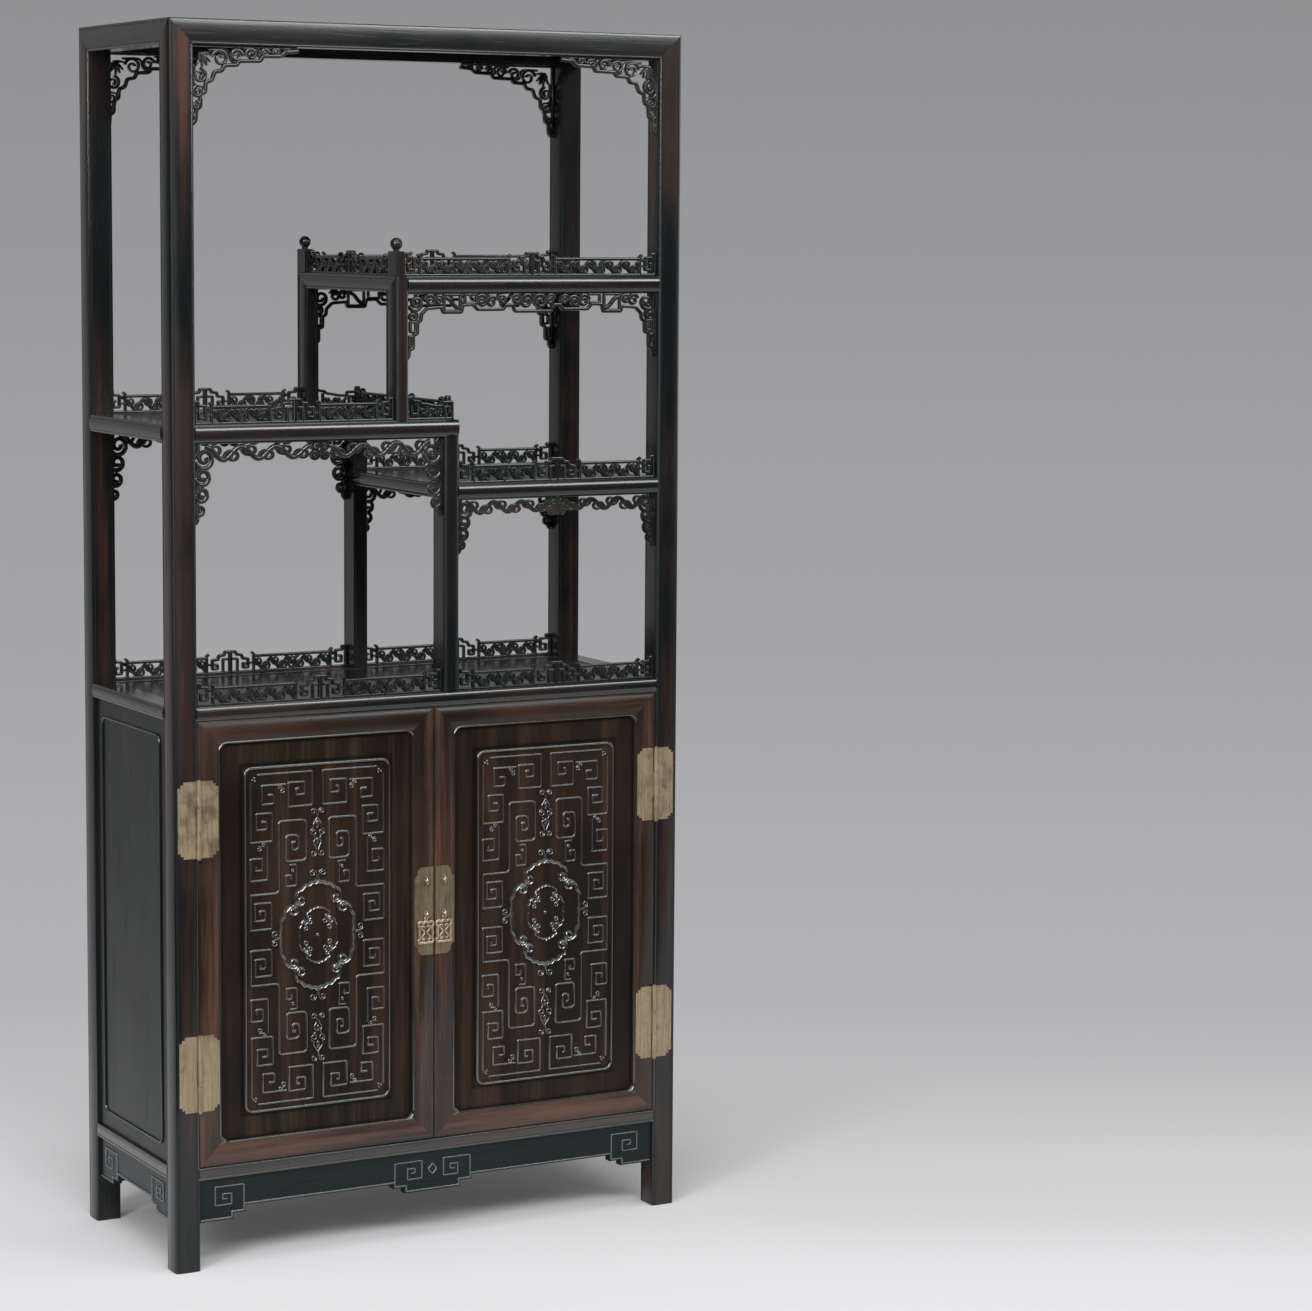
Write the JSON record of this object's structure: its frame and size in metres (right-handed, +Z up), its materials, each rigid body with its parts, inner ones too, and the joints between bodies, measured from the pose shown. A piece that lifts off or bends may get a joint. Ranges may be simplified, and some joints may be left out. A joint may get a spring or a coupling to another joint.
{
  "type": "display cabinet",
  "caption": "Tall dark hardwood display cabinet with open stepped shelves, pierced carved galleries and aprons, and a two-door cupboard with brass hinges and hanging pulls.",
  "frame": {"origin": "on the floor at the middle of the footprint", "axes": "+Z up, front with the doors towards -Y, +X to the right seen from the front"},
  "size_m": [0.87, 0.3863, 1.9],
  "materials": {
    "dark_hardwood": "satin waxed black-brown hardwood",
    "red_hardwood": "satin waxed reddish brown hardwood",
    "antique_brass": "dull aged brass"
  },
  "bodies": {
    "cabinet": {"post_front_left": "dark_hardwood", "post_front_right": "dark_hardwood", "post_back_left": "dark_hardwood", "post_back_right": "dark_hardwood", "top_rails": "dark_hardwood", "top_panel": "dark_hardwood", "upper_shelf_rails": "dark_hardwood", "upper_shelf_panel": "dark_hardwood", "middle_shelf_rails": "dark_hardwood", "middle_shelf_panel": "dark_hardwood", "lower_shelf_rails": "dark_hardwood", "lower_shelf_panel": "dark_hardwood", "deck_rails": "dark_hardwood", "deck_panel": "dark_hardwood", "upper_step_posts": "dark_hardwood", "lower_step_posts": "dark_hardwood", "newels": "dark_hardwood", "upper_gallery_front": "dark_hardwood", "upper_gallery_back": "dark_hardwood", "side_galleries": "dark_hardwood", "middle_gallery_front": "dark_hardwood", "middle_gallery_back": "dark_hardwood", "lower_gallery_front": "dark_hardwood", "lower_gallery_back": "dark_hardwood", "deck_gallery_front": "dark_hardwood", "deck_gallery_back": "dark_hardwood", "top_brackets": "dark_hardwood", "upper_apron_front": "dark_hardwood", "upper_apron_back": "dark_hardwood", "middle_apron_front": "dark_hardwood", "middle_apron_back": "dark_hardwood", "lower_apron_front": "dark_hardwood", "lower_apron_back": "dark_hardwood", "base_rails": "dark_hardwood", "base_panel": "dark_hardwood", "side_panel_left": "dark_hardwood", "side_panel_right": "dark_hardwood", "back_panel": "dark_hardwood", "skirt_front": "dark_hardwood", "skirt_sides": "dark_hardwood", "skirt_back": "dark_hardwood", "inner_shelf": "dark_hardwood", "inner_shelf_bearers": "dark_hardwood", "left_post_hinge_leaves": "antique_brass", "right_post_hinge_leaves": "antique_brass", "left_hinge_pins": "antique_brass", "right_hinge_pins": "antique_brass"},
    "left_door": {"left_door_frame": "red_hardwood", "left_door_panel": "dark_hardwood", "left_door_hinge_leaves": "antique_brass", "left_lock_plate": "antique_brass", "left_staples": "antique_brass"},
    "right_door": {"right_door_frame": "red_hardwood", "right_door_panel": "dark_hardwood", "right_door_hinge_leaves": "antique_brass", "right_lock_plate": "antique_brass", "right_staples": "antique_brass"},
    "left_pull": {"left_pull": "antique_brass"},
    "right_pull": {"right_pull": "antique_brass"}
  },
  "joints": [
    {"name": "left_door_hinge", "type": "hinge", "parent": "cabinet", "child": "left_door", "pos_m": [-0.3965, -0.1911, 0.504], "axis": [0, 0, -1], "range_deg": [0, 165]},
    {"name": "right_door_hinge", "type": "hinge", "parent": "cabinet", "child": "right_door", "pos_m": [0.3965, -0.1911, 0.504], "axis": [0, 0, 1], "range_deg": [0, 165]},
    {"name": "left_pull_swing", "type": "hinge", "parent": "left_door", "child": "left_pull", "pos_m": [-0.01575, -0.1913, 0.521], "axis": [-1, 0, 0], "range_deg": [0, 85]},
    {"name": "right_pull_swing", "type": "hinge", "parent": "right_door", "child": "right_pull", "pos_m": [0.01575, -0.1913, 0.521], "axis": [-1, 0, 0], "range_deg": [0, 85]}
  ]
}
